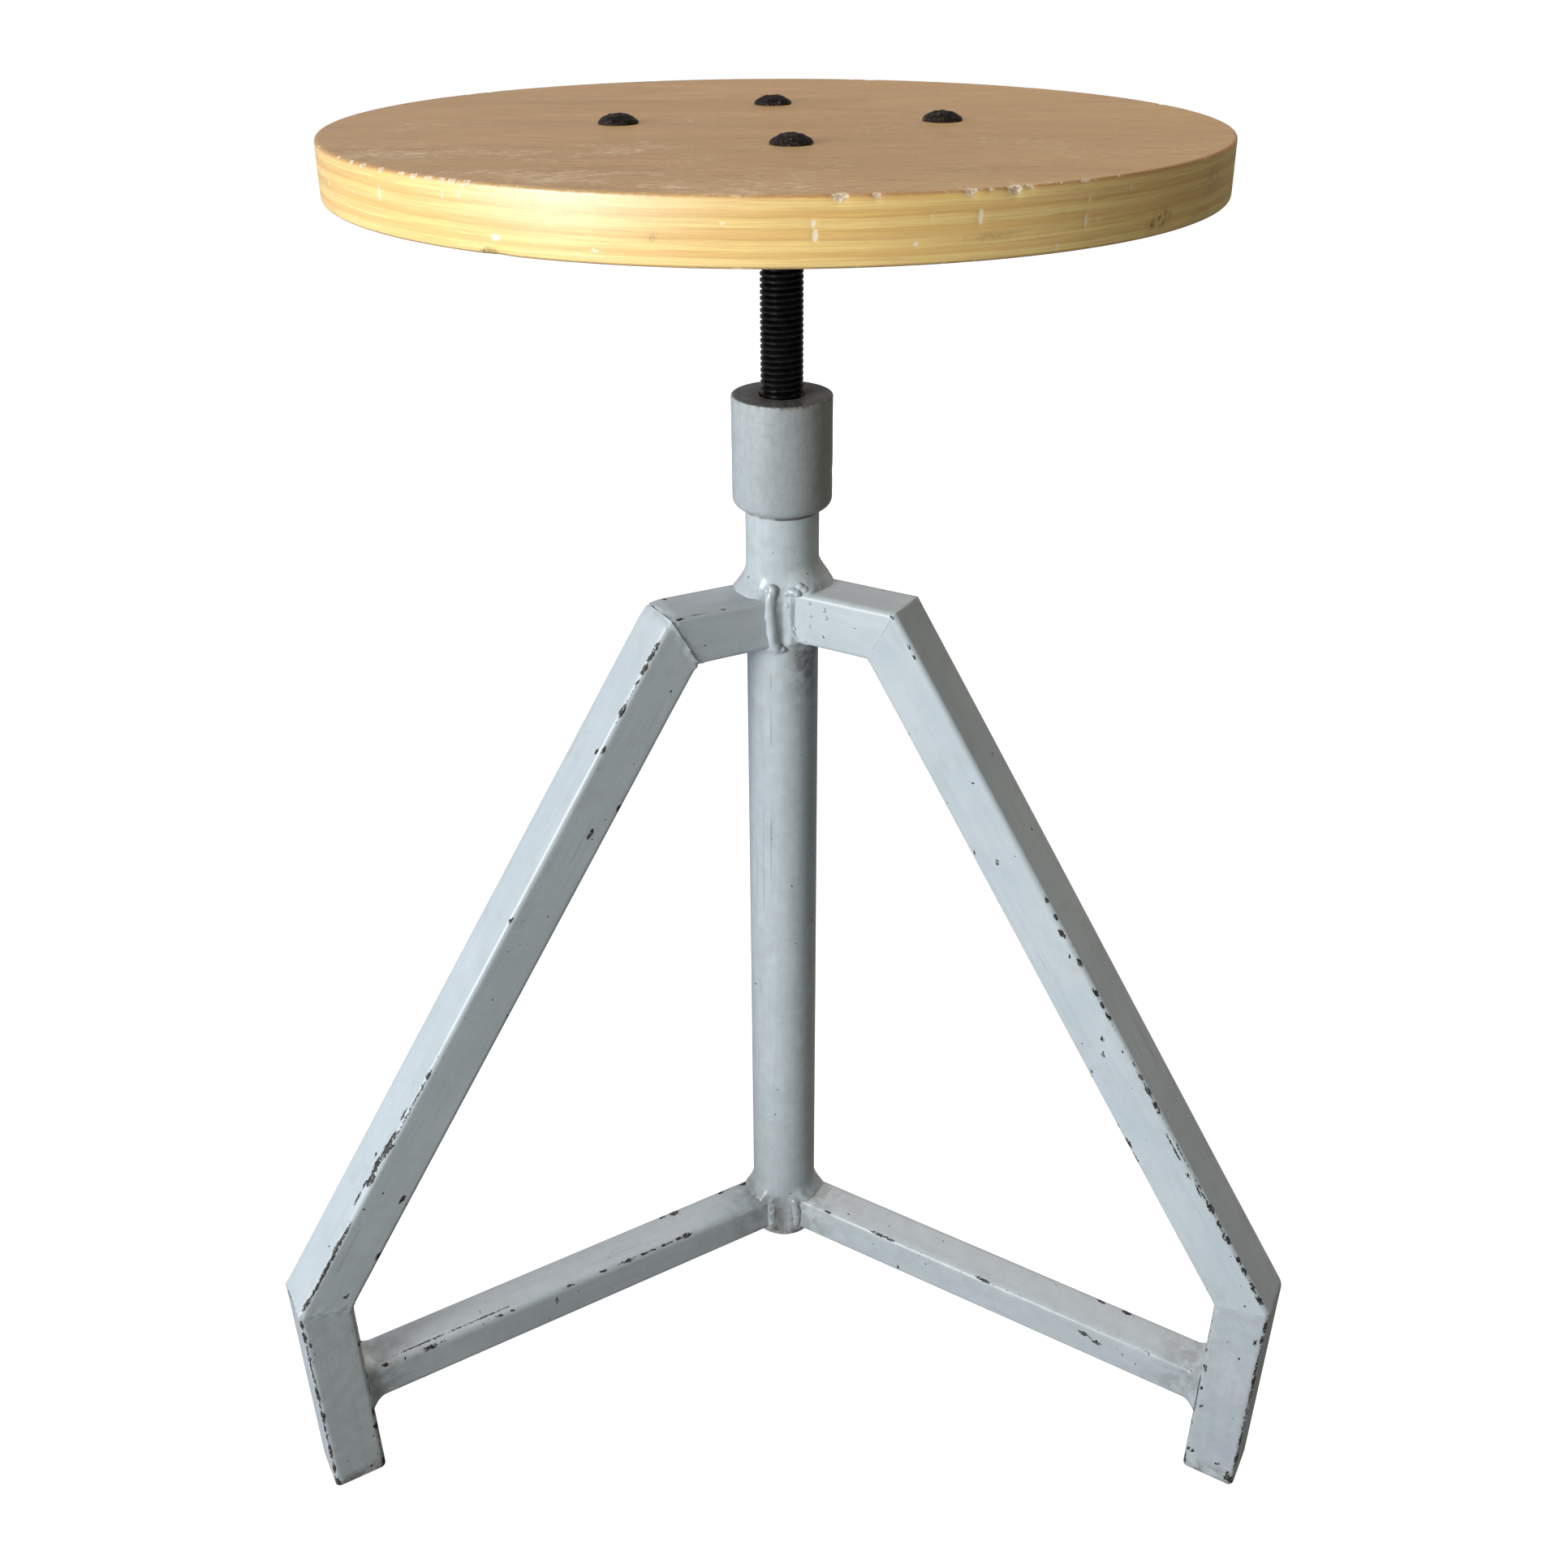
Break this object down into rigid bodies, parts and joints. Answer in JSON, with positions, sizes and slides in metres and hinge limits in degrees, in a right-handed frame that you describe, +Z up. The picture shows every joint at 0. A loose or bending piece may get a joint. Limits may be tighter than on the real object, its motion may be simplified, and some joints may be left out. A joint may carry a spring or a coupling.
{
  "type": "adjustable swivel stool",
  "caption": "Workshop stool: round plywood seat on a threaded spindle that screws up and down in a welded steel frame with splayed square-tube legs and low braces.",
  "frame": {"origin": "on the floor, at the centre of the stool's bounding box; the column's axis stands 41 mm towards -Y of it", "axes": "+Z up along the column; +Y towards the rear leg; the other two legs point to -Y on either side"},
  "size_m": [0.4552, 0.4318, 0.6099],
  "materials": {
    "seat_plywood": "clear lacquered birch-type plywood, worn",
    "frame_paint": "light blue-grey semi-gloss paint, chipped on the edges",
    "black_steel": "blackened steel, semi-gloss",
    "zinc_steel": "dull zinc plating"
  },
  "bodies": {
    "frame": {"collar": "frame_paint", "column": "frame_paint", "leg_arm_1": "frame_paint", "leg_arm_2": "frame_paint", "leg_arm_3": "frame_paint", "leg_strut_1": "frame_paint", "leg_strut_2": "frame_paint", "leg_strut_3": "frame_paint", "leg_foot_1": "frame_paint", "leg_foot_2": "frame_paint", "leg_foot_3": "frame_paint", "foot_plate_1": "frame_paint", "foot_plate_2": "frame_paint", "foot_plate_3": "frame_paint", "brace_1": "frame_paint", "brace_2": "frame_paint", "brace_3": "frame_paint"},
    "guide": {"stop_washer": "zinc_steel"},
    "seat": {"seat_board": "seat_plywood", "seat_flange": "black_steel", "seat_bolt_1": "black_steel", "seat_bolt_2": "black_steel", "seat_bolt_3": "black_steel", "seat_bolt_4": "black_steel", "seat_washer_1": "zinc_steel", "seat_washer_2": "zinc_steel", "seat_washer_3": "zinc_steel", "seat_washer_4": "zinc_steel", "seat_nut_1": "zinc_steel", "seat_nut_2": "zinc_steel", "seat_nut_3": "zinc_steel", "seat_nut_4": "zinc_steel", "spindle": "black_steel", "stop_screw": "zinc_steel"}
  },
  "joints": [
    {"name": "spindle_rise", "type": "slide", "parent": "frame", "child": "guide", "axis": [0, 0, 1], "range_m": [-0.0801, 0.1001]},
    {"name": "seat_turn", "type": "hinge", "parent": "guide", "child": "seat", "pos_m": [0, -0.041, 0.45], "axis": [0, 0, 1], "range_deg": [-11520, 14400]}
  ],
  "couplings": [
    {"joint": "spindle_rise", "follows": "seat_turn", "m_per_rad": 0.00039789}
  ]
}
